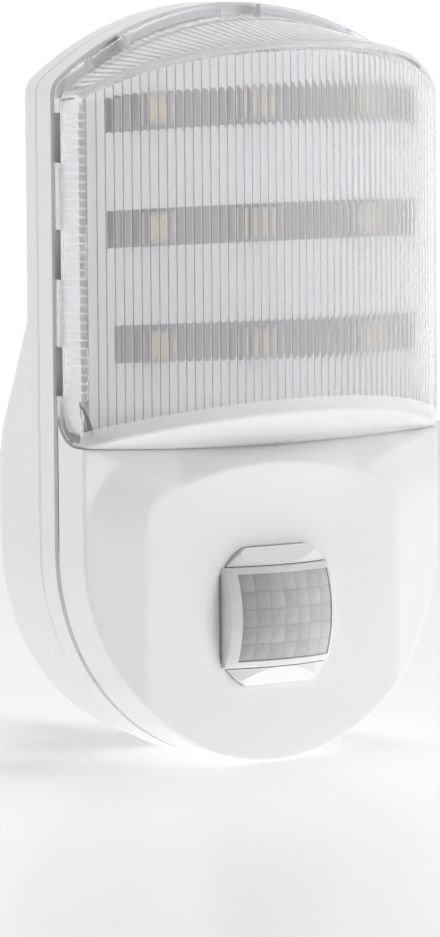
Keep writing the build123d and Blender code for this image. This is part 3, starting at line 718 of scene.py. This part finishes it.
def innerPath(x, share):
    # the same run inside, drawn in by the wall, with ribs standing in by a share of their height
    s, e = lensShape, ribEnds
    wall = s["wall"]
    lift, low = s["ribHeight"] * share, s["wallRibHeight"] * share
    front = lensFrontDepth(x, wall)
    turn = s["seam"] + s["corner"]
    back = s["seam"] + s["backGap"]
    lean = math.asin(x / (s["frontRadius"] - wall))
    rows = []
    start, full = (back + run for run in e["back"])
    end, ease = (front - run for run in e["front"])
    for depth, part in ((back, 0), (start, 0), (full, 1), (ease, 1), (end, 0)):
        rows.append((x, depth, lensTop(x, max(depth, s["flangeFront"]), wall) - low * part))
    high = lensTop(x, front, wall)
    floor = lensSill(x, front, wall)
    rows.append((x, front, high))
    end, full = e["upright"]
    for height, part in ((high - end, 0), (high - full, 1), (floor + full, 1), (floor + end, 0)):
        proud = lift * part
        rows.append((x - proud * math.sin(lean), front - proud * math.cos(lean), height))
    rows.append((x, front, floor))
    ahead = max(turn + e["sillTurn"], s["edge"] + e["sillEdge"])
    reach = front - ahead
    bevelPart = min(max((reach - e["sillRun"]) / e["sillRun"], 0), 1)
    end, full, rise = (reach * part for part in e["sillShares"])
    for depth, part in ((front - end, 0), (front - full, 1), (ahead + rise, 1), (ahead, 0)):
        rows.append((x, depth, lensSill(x, depth, wall) + low * part * bevelPart))
    for sine, _ in quarter(s["backSteps"] // 2):
        depth = turn - (turn - back) * sine
        rows.append((x, depth, lensSill(x, depth, wall)))
    return rows


def ribPlace(step):
    # how many ribs a step is along, and its height: 0 in the valleys, 1 on the ridges
    stops = lensShape["ribStops"]
    part = stops[step % len(stops)]
    return step // len(stops) + part, math.sin(math.pi * part)


def sidePatch(points, faces, edgeRow, x):
    # a flat wall inside the lens's side, with ribs that run front to back
    s = lensShape
    low = lensSill(abs(x), s["seam"] + s["corner"], s["wall"]) + s["sideFoot"]
    high = lensTop(abs(x), s["flangeFront"], s["wall"]) - s["sideHead"]
    front = lensFrontDepth(abs(x), s["wall"])
    start, full, ease, end = ribEnds["side"]
    stops = ((s["seam"] + start, 0), (s["seam"] + full, 1), (front - ease, 1), (front - end, 0))
    steps = int((high - low) / s["ribPitch"]) * len(s["ribStops"])
    grid = []
    for step in range(steps + 1):
        ribs, share = ribPlace(step)
        height = low + s["ribPitch"] * ribs
        proud = s["wallRibHeight"] * share
        row = [(x - math.copysign(proud * part, x), depth, height) for depth, part in stops]
        grid.append(addPoints(points, row))
    addSheet(faces, grid)
    faces.extend(stitchLoops(edgeRow, located(points, rimOf(grid[::-1]))))


def dressLens(piece):
    # the ribs' valleys get painted shade, one flank of each rib and the crown strip a painted
    # highlight, and the foot its own milkier finish
    s, b = lensShape, lensBands
    plain, paintedValley, paintedFlank, foot = range(4)
    dress(piece, "clear_plastic", "ribValleyPaintedShade", "ribFlankPaintedHighlight", "lensEdge")
    inner = s["frontRadius"] - s["wall"]
    low = lensSill(s["half"], s["seam"] + s["corner"], s["wall"]) + s["sideFoot"]
    stops = s["ribStops"]
    for face in piece.data.polygons:
        x, depth, z = face.center.x / mm, -face.center.y / mm, face.center.z / mm
        arc = inner * math.asin(max(-1, min(1, x / inner)))
        part = (arc / s["ribPitch"] + 0.5) % 1.0
        radius = math.hypot(x, depth - s["frontAxis"])
        above = z - lensSill(abs(x), depth)
        below = lensTop(min(abs(x), s["half"]), depth) - z
        level = abs(face.normal.z) > b["steep"]
        front = inner - b["ribDepth"] < radius < inner + b["slack"]
        kind = foot if above < s["footBand"] or (level and above < b["floorReach"]) else plain
        # front ribs: painted shade in each valley, painted highlight on the last flank
        if front and abs(face.normal.z) < b["steep"]:
            if part < stops[1]:
                kind = paintedValley
            elif part > stops[-1]:
                kind = paintedFlank
        # painted highlight along the crown strip
        elif radius > inner - b["crownDepth"] and below < s["topBand"]:
            kind = paintedFlank
        # side walls: painted highlight on one flank of each rib
        elif abs(face.normal.x) > b["sideways"] and z > low:
            inside = abs(x) < s["half"] - s["wall"] + b["slack"]
            if inside and ((z - low) / s["ribPitch"]) % 1.0 > stops[-2]:
                kind = paintedFlank
        face.material_index = kind


def buildLens():
    s = lensShape
    points, faces = [], []

    # outside, from one rounded side to the other
    radius = s["sideRound"]
    ends = []
    for step in range(s["sideSteps"] + 1):
        turn = math.pi / 2 * (1 - step / s["sideSteps"])
        ends.append((s["half"] - radius + radius * math.sin(turn), radius * (1 - math.cos(turn))))
    reach = s["half"] - radius
    middle = [(-reach + 2 * reach * k / s["columns"], 0.0) for k in range(1, s["columns"])]
    spread = [(-x, inset) for x, inset in ends] + middle + list(reversed(ends))
    outer = [addPoints(points, outerPath(x, inset)) for x, inset in spread]
    addSheet(faces, outer)
    for row in (outer[0], outer[-1]):
        cut = [i for i in row if points[i][1] >= s["flangeFront"] - weldReach and i != row[1]]
        faces.append(tuple(cut))
        faces.append((row[0], row[1], cut[0], cut[-1], *(i for i in row if i > cut[-1])))

    # inside, with a rib over each pitch
    half = s["half"] - s["wall"]
    radius = s["frontRadius"] - s["wall"]
    runs = [(-half, 0)]
    for step in range((2 * s["ribCount"] + 1) * len(s["ribStops"]) + 1):
        ribs, share = ribPlace(step)
        arc = s["ribPitch"] * (ribs - s["ribCount"] - 0.5)
        runs.append((radius * math.sin(arc / radius), share))
    runs.append((half, 0))
    inner = [addPoints(points, innerPath(x, share)) for x, share in runs]
    addSheet(faces, inner)
    for row, x in ((inner[0], -half), (inner[-1], half)):
        sidePatch(points, faces, located(points, row), x)

    # the rim at the seam
    rims = []
    for rows in (outer, inner):
        ring = [row[0] for row in rows] + [row[-1] for row in reversed(rows)]
        rims.append(located(points, ring))
    faces.extend(stitchLoops(*rims))
    piece = makePiece("lens_dome", points, faces, "clear_plastic")
    n = snapShape
    low, high = n["seam"] - n["clear"], n["seam"] + n["notchRise"]
    carve(piece, snapBlocks(n["notchInset"], -n["clear"], low, high))
    dressLens(piece)
    smoothShade(piece, s["sharp"])
    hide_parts("lens")


buildLens()
print("lens ready")


# front cover
coverShape = {
    **caseShape,
    "sill": 15.7,
    "padRise": 2.3,
    "padHalf": 25.5,
    "padCrown": 13.2,
    "padArch": 62.0,
    "padRound": 5.5,
    "edgeRound": 0.55,
    "topFall": 0.335,
    "topRun": 0.3,       # shortest
    "topBlend": 0.10,
    "cornerReach": 8.0,
    "creaseBlend": 0.07,
    "tuck": 1.15,
    "tuckReach": 5.0,
    "spacing": 0.7,
    "creaseSpacing": 0.16,
    "windowHeight": -11.8,
    "windowRadius": 12.9,
    "windowHalf": 10.9,
    "windowRise": 11.3,
    "windowGap": 0.06,
    "windowSteps": 96,
    "windowLip": 0.3,
    "seamRound": 0.25,
    "cornerSteps": 8,
    "edgeSteps": 5,
    "lipSteps": 3,
    "netTop": 20,
    "netRow": 0.87,      # shares of the net's spacing, with the next one
    "netMargin": 0.45,
    "netJoin": 1e-6,
    "creaseRows": 3,
    "creaseClear": 0.3,
    "backSpacing": 3.0,
    "sharp": 32,
}


def softMin(first, second, blend):
    near = max(blend - abs(first - second), 0) / blend
    return min(first, second) - near * near * blend / 4


def junctionHeight(x):
    s = coverShape
    return s["sill"] + s["dip"] * (x / s["half"]) ** 2


def padEdge(x):
    s = coverShape
    reach = min(abs(x), s["half"])
    return s["padCrown"] - s["padArch"] + math.sqrt(s["padArch"] ** 2 - reach ** 2)


def padCorner():
    # the middle of the pad's rounded corner, the top's axis and its radius up to that middle
    s = coverShape
    arch, half = s["padArch"] - s["padRound"], s["padHalf"] - s["padRound"]
    axis = s["padCrown"] - s["padArch"]
    return half, axis + math.sqrt(arch ** 2 - half ** 2), axis, arch


def padGap(x, z):
    # how far a place lies outside the pad's rounded outline, and how far it has turned upward
    s = coverShape
    half, corner, axis, arch = padCorner()
    reach = math.hypot(x, z - axis)
    if abs(x) * arch <= half * reach:
        return max(reach - s["padArch"], abs(x) - s["padHalf"]), 1.0
    if z > corner:
        turn = math.atan2(z - corner, abs(x) - half) / (math.pi / 2 - math.asin(half / arch))
        return math.hypot(abs(x) - half, z - corner) - s["padRound"], turn
    return abs(x) - s["padHalf"], 0.0


def topStart(x):
    # where the slope up to the lens begins
    s = coverShape
    return max(padEdge(x), junctionHeight(s["half"]) - s["topFall"] * (s["half"] - abs(x)))


def coverRise(x, z):
    # height of the cover's front over the flat edge
    s = coverShape
    gap, turn = padGap(x, z)
    share = 1 - (1 - turn) ** 2
    run = (s["half"] - s["padHalf"]) * (1 - share) + s["cornerReach"] * share
    base = s["padRise"] * softMin(max(1 - gap / run, 0), 1.0, s["creaseBlend"])
    start = topStart(x)
    top = (z - start) / max(junctionHeight(x) - start, s["topRun"])
    top = min(-softMin(-top, 0, s["topBlend"]), 1)
    tuck = s["tuck"] * min((s["half"] - abs(x)) / s["tuckReach"], 1)
    return base * (1 - top) - tuck * top


def coverTop(x, depth):
    s = coverShape
    turn = s["seam"] + s["corner"]
    if depth >= turn:
        return junctionHeight(x)
    drop = math.sqrt(max(s["corner"] ** 2 - (turn - depth) ** 2, 0))
    return junctionHeight(x) + s["corner"] - drop


def coverLoop(inset, depth, sideSteps=12, footSteps=72, topSteps=44):
    # round the cover as seen from the front, starting at the upper left corner
    s = coverShape
    half = s["half"] - inset
    left, right = coverTop(-half, depth) - inset, coverTop(half, depth) - inset
    loop = [(-half, left * (1 - k / sideSteps)) for k in range(sideSteps)]
    for k in range(footSteps + 1):
        angle = math.pi * (1 + k / footSteps)
        loop.append((half * math.cos(angle), half * math.sin(angle)))
    loop += [(half, right * k / sideSteps) for k in range(1, sideSteps + 1)]
    for k in range(1, topSteps):
        x = half * (1 - 2 * k / topSteps)
        loop.append((x, coverTop(x, depth) - inset))
    return loop


def windowLoop(gap):
    # the sensor window's opening: a disc cut off at the sides, above and below
    s = coverShape
    radius, half, rise = (s[key] + gap for key in ("windowRadius", "windowHalf", "windowRise"))
    loop = []
    for k in range(s["windowSteps"]):
        angle = 2 * math.pi * k / s["windowSteps"]
        x = max(-half, min(half, radius * math.cos(angle)))
        z = max(-rise, min(rise, radius * math.sin(angle)))
        loop.append((x, s["windowHeight"] + z))
    return loop


def padOutline(spacing):
    # places along the right half of the pad's outline, with the way out from it
    s = coverShape
    half, corner, axis, arch = padCorner()
    tilt = math.asin(half / arch)
    arcs = (
        (0, axis, s["padArch"], 0, tilt),
        (half, corner, s["padRound"], tilt, math.pi / 2 - tilt),
    )
    places = []
    for x, z, radius, start, turn in arcs:
        count = int(radius * turn / spacing)
        for k in range(count):
            angle = start + turn * (k + 0.5) / count
            sine, cosine = math.sin(angle), math.cos(angle)
            places.append((x + radius * sine, z + radius * cosine, sine, cosine))
    z = corner
    while z > -s["half"]:
        places.append((s["padHalf"], z, 1, 0))
        z -= spacing
    return places


def fillFront(points, faces, outerRow, holeRow, height, spacing, crease):
    # covers the ground between two rings with a fine net of triangles
    s = coverShape
    fixed = outerRow + holeRow
    count, total = len(outerRow), len(fixed)
    places = [Vector((points[i][0], points[i][2])) for i in fixed]
    flat = [tuple(place) for place in places]
    outline, opening = flat[:count], flat[count:]
    inset = s["half"] - max(x for x, _ in outline)
    extra, keep = [], []
    rows = s["creaseRows"]
    for x, z, nx, nz in padOutline(spacing) if crease else []:
        for step in range(-rows, rows + 1):
            shift = step * s["creaseSpacing"]
            extra.append(Vector((x + nx * shift, z + nz * shift)))
            extra.append(Vector((-x - nx * shift, z + nz * shift)))
    clearance = rows * s["creaseSpacing"] + s["creaseClear"] * spacing
    steps = int(s["half"] / spacing) + 1
    for i in range(-steps, steps + 1):
        for j in range(-steps, int(s["netTop"] / spacing) + 1):
            here = Vector(((i + 0.5 * (j % 2)) * spacing, j * spacing * s["netRow"]))
            if not crease or abs(padGap(here.x, here.y)[0]) > clearance:
                keep.append(here)
    margin = spacing * s["netMargin"]
    rim = s["half"] - inset - margin
    for here in keep + extra:
        inside = abs(here.x) < rim and here.y < junctionHeight(here.x) - inset - margin
        if here.y < 0:
            inside = inside and here.length < rim
        local = (abs(here.x), abs(here.y - s["windowHeight"]))
        clear = max(
            local[0] - s["windowHalf"], local[1] - s["windowRise"],
            math.hypot(*local) - s["windowRadius"],
        )
        if inside and clear > s["windowGap"] + margin:
            places.append(here)
    edges = [(k, (k + 1) % count) for k in range(count)]
    edges += [(k, k + 1) for k in range(count, total - 1)] + [(total - 1, count)]
    spots, _, nets, sources = delaunay_2d_cdt(places, edges, [], 0, s["netJoin"])[:4]
    index = []
    for point, (first, *_) in zip(spots, sources):
        if first < total:
            index.append(fixed[first])
        else:
            index += addPoints(points, [(point.x, height(point.x, point.y), point.y)])
    for face in nets:
        middle = sum((spots[k] for k in face), Vector((0, 0))) / len(face)
        if within(middle, outline) and not within(middle, opening):
            faces.append(tuple(index[k] for k in face))


def within(point, loop):
    inside = False
    for (ax, az), (bx, bz) in zip(loop, loop[1:] + loop[:1]):
        if (az > point[1]) != (bz > point[1]):
            if point[0] < ax + (bx - ax) * (point[1] - az) / (bz - az):
                inside = not inside
    return inside


def buildCover():
    s = coverShape
    points, faces = [], []

    def addLoop(loop, depthAt):
        return addPoints(points, [(x, depthAt(x, z), z) for x, z in loop])

    def level(depth):
        return lambda x, z: depth

    def frontLess(drop):
        return lambda x, z: s["edge"] + coverRise(x, z) - drop

    seam, turn, wall = s["seam"], s["seam"] + s["corner"], s["wall"]
    depths = [seam + s["seamRound"]]
    depths += [turn - s["corner"] * cosine for _, cosine in quarter(s["cornerSteps"], 1)]
    outside = [addLoop(coverLoop(s["seamRound"], seam), level(seam))]
    outside += [addLoop(coverLoop(0, depth), level(depth)) for depth in depths]
    radius = s["edgeRound"]
    for sine, cosine in quarter(s["edgeSteps"]):
        loop = coverLoop(radius * (1 - cosine), s["edge"])
        outside.append(addLoop(loop, frontLess(radius * (1 - sine))))
    inside = [addLoop(coverLoop(wall, depth), level(depth)) for depth in [seam] + depths[2::3]]
    inside.append(addLoop(coverLoop(wall, s["edge"]), frontLess(wall)))
    for rings in (outside, inside, (outside[0], inside[0])):
        addSheet(faces, rings, True)
    gap, lip = s["windowGap"], s["windowLip"]
    rims = []
    for sine, cosine in quarter(s["lipSteps"]):
        rims.append(addLoop(windowLoop(gap + lip * (1 - sine)), frontLess(lip * (1 - cosine))))
    rims.append(addLoop(windowLoop(gap), frontLess(wall)))
    addSheet(faces, rims, True)
    fillFront(points, faces, outside[-1], rims[0], frontLess(0), s["spacing"], True)
    fillFront(points, faces, inside[-1], rims[-1], frontLess(wall), s["backSpacing"], False)
    piece = makePiece("cover_shell", points, faces, "case_plastic")
    smoothShade(piece, s["sharp"])
    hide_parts("front_cover")


buildCover()
print("cover ready")


# motion sensor's window
sensorShape = {
    "height": -11.8,
    "half": 10.65,
    "rise": 8.25,
    "bow": 27.9,
    "swell": 1.75,
    "frontTop": 49.35,
    "seat": 45.9,
    "wall": 0.9,
    "round": 0.35,
    "gridLeft": -8.55,
    "gridRight": 9.85,
    "gridRise": 7.15,
    "columns": 7,
    "rows": 5,
    "cellSteps": 8,
    "cellRise": 0.13,
    "cellSink": 0.22,
    "ledge": 0.12,
    "lineStep": 0.02,
    "roundSteps": 4,
    "backSteps": (16, 12),
    "sharp": 35,
}
sensorFinish = {
    "border": (0.74, 0.75, 0.76),
    "cells": (0.46, 0.47, 0.48),
    "cellSpread": 0.16,
    # painted light: the cells are darker by this share at -X and lighter by it at +X, where the
    # light falls
    "slope": 0.2,
    "line": 0.10,
    # painted shade along the cells' edges: how wide it runs, in cells, and how much it darkens
    "lineShade": 0.16,
    "edge": 0.10,
    "roughness": 0.24,
    "cloudScale": 260.0,
    "cloudDetail": 3.0,
    "cloudSpread": 0.16,
    "cloudBase": 0.92,
}


def makeSensorFinish(setup):
    # milky plastic: a pale border and a darker net of cells, told apart by place; the cells carry
    # painted shade along their edges and painted light that rises towards +X
    material, tree, shader = newMaterial("milkyPlastic")
    place, parts = splitPlace(tree, "Object")
    s = sensorShape
    middle = (s["gridLeft"] + s["gridRight"]) / 2
    half = s["gridRight"] - middle
    offset = sums(tree, "SUBTRACT", parts["X"], middle * mm)
    level = sums(tree, "SUBTRACT", parts["Z"], s["height"] * mm)
    outside = sums(
        tree, "MAXIMUM",
        sums(tree, "SUBTRACT", sums(tree, "ABSOLUTE", offset), half * mm),
        sums(tree, "SUBTRACT", sums(tree, "ABSOLUTE", level), s["gridRise"] * mm),
    )
    cell = tree.nodes.new("ShaderNodeCombineXYZ")
    nets = ((offset, half, s["columns"], "X"), (level, s["gridRise"], s["rows"], "Y"))
    lines = []
    for value, reach, cells, axis in nets:
        run = sums(tree, "MULTIPLY_ADD", value, cells / (2 * reach * mm), cells / 2)
        tree.links.new(sums(tree, "FLOOR", run), cell.inputs[axis])
        lines.append(sums(tree, "PINGPONG", run, 0.5))
    chance = tree.nodes.new("ShaderNodeTexWhiteNoise")
    tree.links.new(cell.outputs[0], chance.inputs["Vector"])
    nearest = sums(tree, "MINIMUM", *lines)
    # painted shade along the cells' edges, where the cushions meet
    paintedLineShade = mapRange(tree, nearest, (0.0, setup["line"]), (1 - setup["lineShade"], 1.0))
    width = (s["gridLeft"] * mm, s["gridRight"] * mm)
    # painted light: the cells get lighter towards +X
    paintedLightRamp = mapRange(tree, parts["X"], width, (1 - setup["slope"], 1 + setup["slope"]))
    spread = setup["cellSpread"]
    # random tone per cell, times the painted shade and painted light
    cellToneWithPaintedLight = sums(
        tree, "MULTIPLY", sums(tree, "MULTIPLY", paintedLineShade, paintedLightRamp),
        sums(tree, "MULTIPLY_ADD", chance.outputs["Value"], spread, 1 - spread / 2),
    )
    mask = mapRange(tree, outside, (-setup["edge"] * mm, setup["edge"] * mm), (0.0, 1.0))
    tone = tree.nodes.new("ShaderNodeMix")
    tone.data_type = "RGBA"
    setInputs(tone, {"A": (*setup["cells"], 1), "B": (*setup["border"], 1)})
    gridTone = tree.nodes.new("ShaderNodeMix")
    gridTone.inputs["B"].default_value = 1.0
    for mix in (tone, gridTone):
        tree.links.new(mask, mix.inputs["Factor"])
    tree.links.new(cellToneWithPaintedLight, gridTone.inputs["A"])
    cloud = noise(tree, place, setup["cloudScale"], setup["cloudDetail"])
    softTone = sums(tree, "MULTIPLY_ADD", cloud, setup["cloudSpread"], setup["cloudBase"])
    value = sums(tree, "MULTIPLY", softTone, gridTone.outputs["Result"])
    drift = tree.nodes.new("ShaderNodeHueSaturation")
    tree.links.new(tone.outputs["Result"], drift.inputs["Color"])
    tree.links.new(value, drift.inputs["Value"])
    tree.links.new(drift.outputs[0], shader.inputs["Base Color"])
    shader.inputs["Roughness"].default_value = setup["roughness"]
    return material


materials["milky_plastic"] = makeSensorFinish(sensorFinish)


def sensorDepth(x, z, inset=0.0):
    # a drum on an upright axis, swollen at mid height
    s = sensorShape
    sag = (s["rise"] ** 2 + s["swell"] ** 2) / (2 * s["swell"])
    swell = math.sqrt(sag**2 - min(abs(z), s["rise"]) ** 2) - (sag - s["swell"])
    radius = s["bow"] + swell - inset
    return s["frontTop"] - s["bow"] + math.sqrt(radius**2 - x * x)


def sensorSink(x, z):
    # how far the front stands back: a low ledge round a net of cushions
    s = sensorShape
    wide = s["gridRight"] - s["gridLeft"]
    inside = min(s["gridRight"] - x, x - s["gridLeft"], s["gridRise"] - abs(z))
    if inside <= 0:
        return 0.0
    across = ((x - s["gridLeft"]) * s["columns"] / wide) % 1.0 - 0.5
    along = ((z + s["gridRise"]) * s["rows"] / (2 * s["gridRise"])) % 1.0 - 0.5
    cushion = s["cellRise"] * (1 - 4 * across * across) * (1 - 4 * along * along)
    return s["cellSink"] * min(inside / s["ledge"], 1.0) - cushion


def sensorFront(x, z):
    # the front's depth, with the net and the rounded rim
    s = sensorShape
    depth = sensorDepth(x, z) - sensorSink(x, z)
    for near in (s["half"] - abs(x), s["rise"] - abs(z)):
        if near < s["round"]:
            depth -= s["round"] - math.sqrt(s["round"] ** 2 - (s["round"] - near) ** 2)
    return depth


def sensorStops(half, low, high, cells):
    # places of the net's lines from one edge to the other
    s = sensorShape
    count = cells * s["cellSteps"]
    reach = high - low - 2 * s["ledge"]
    inner = [low + s["ledge"] + reach * k / count for k in range(count + 1)]
    border = [half - s["round"] * (1 - cosine) for _, cosine in quarter(s["roundSteps"])]
    before = [-place for place in border] + [low - s["lineStep"], low]
    after = border + [high + s["lineStep"], high]
    return before + inner + after[::-1]


def buildSensorLens():
    s = sensorShape
    points, faces, seats = [], [], []
    wall = s["wall"]
    backStops = []
    for half, steps in zip((s["half"] - wall, s["rise"] - wall), s["backSteps"]):
        backStops.append([-half + half * k / steps for k in range(2 * steps + 1)])
    frontStops = (
        sensorStops(s["half"], s["gridLeft"], s["gridRight"], s["columns"]),
        sensorStops(s["rise"], -s["gridRise"], s["gridRise"], s["rows"]),
    )

    def backAt(x, z):
        return sensorDepth(x, z, wall)

    grids = []
    for depthAt, (stopsX, stopsZ) in ((sensorFront, frontStops), (backAt, backStops)):
        rows = [[(x, depthAt(x, z), s["height"] + z) for z in stopsZ] for x in stopsX]
        grids.append([addPoints(points, row) for row in rows])
        addSheet(faces, grids[-1])
    for grid in grids:
        rim = rimOf(grid)
        seat = addPoints(points, [(points[i][0], s["seat"], points[i][2]) for i in rim])
        seats.append(located(points, seat))
        addSheet(faces, (rim, seat), True)
    faces.extend(stitchLoops(*seats))
    piece = makePiece("sensor_lens", points, faces, "milky_plastic")
    smoothShade(piece, s["sharp"])
    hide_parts("pir_lens")


buildSensorLens()
print("sensor window ready")


# softened copies of moulded parts
softened = {
    # node: width of the broken edge in mm
    "pir_bezel": 0.25,
    "middle_frame": 0.18,
    "rear_shell": 0.3,
    "plug_body": 0.3,
}
softening = {"weld": 0.001, "flat": 0.5, "sharp": 25, "corner": 35, "segments": 2}


def softenNode(name, width):
    # the same solid, with its flat faces made whole and its edges broken
    s = softening
    piece = addObject(name + "_moulded", nodes[name].data.copy())

    def makeWhole(work):
        bmesh.ops.remove_doubles(work, verts=work.verts, dist=s["weld"] * mm)
        bmesh.ops.dissolve_limit(
            work, angle_limit=math.radians(s["flat"]), use_dissolve_boundaries=False,
            verts=work.verts, edges=work.edges, delimit={"NORMAL"},
        )

    reworkMesh(piece.data, makeWhole)
    slot = slots[name]
    dress(piece, slot)
    if name == "middle_frame":
        n = snapShape
        low, high = n["seam"] - n["pocketDepth"], n["seam"] + n["clear"]
        carve(piece, snapBlocks(n["pocketInner"], n["pocketOuter"], low, high))
    smoothShade(piece, s["sharp"])
    bevel = piece.modifiers.new("brokenEdge", "BEVEL")
    bevel.width = width * mm
    bevel.segments = s["segments"]
    bevel.limit_method = "ANGLE"
    bevel.angle_limit = math.radians(s["corner"])
    bevel.harden_normals = True
    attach(piece, "housing")
    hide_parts(name)
    return piece


# the tray behind the lens: its face set back and widened, with longer windows
trayShape = {
    "boardFront": 41.9,
    "face": 45.5,
    "newFace": 43.0,
    "across": ((0.0, 0.0), (24.0, 24.0), (26.5, 29.3), (29.0, 31.2), (33.2, 33.2)),
    "upright": ((0, 0), (19.5, 19.5), (26.0, 26.9), (75.0, 74.6), (82.6, 82.6)),
    "edge": 0.2,
}


def carried(stops, value):
    # a value carried from one list of stops to another
    for (low, newLow), (high, newHigh) in zip(stops, stops[1:]):
        if value <= high:
            return newLow + (newHigh - newLow) * (value - low) / (high - low)
    return value


def reshapeTray():
    t = trayShape
    piece = softenNode("reflector_tray", t["edge"])
    for vertex in piece.data.vertices:
        x, depth, z = vertex.co.x / mm, -vertex.co.y / mm, vertex.co.z / mm
        x = math.copysign(carried(t["across"], abs(x)), x)
        if depth > t["boardFront"]:
            share = (depth - t["boardFront"]) / (t["face"] - t["boardFront"])
            depth = t["boardFront"] + (t["newFace"] - t["boardFront"]) * share
        vertex.co = toMetres((x, depth, carried(t["upright"], z)))


reshapeTray()
for nodeName, edgeWidth in softened.items():
    softenNode(nodeName, edgeWidth)
print("moulded parts ready")


# the other pieces keep their own solids
for nodeName, nodeSlot in slots.items():
    dress(nodes[nodeName], nodeSlot)
print("pieces dressed")
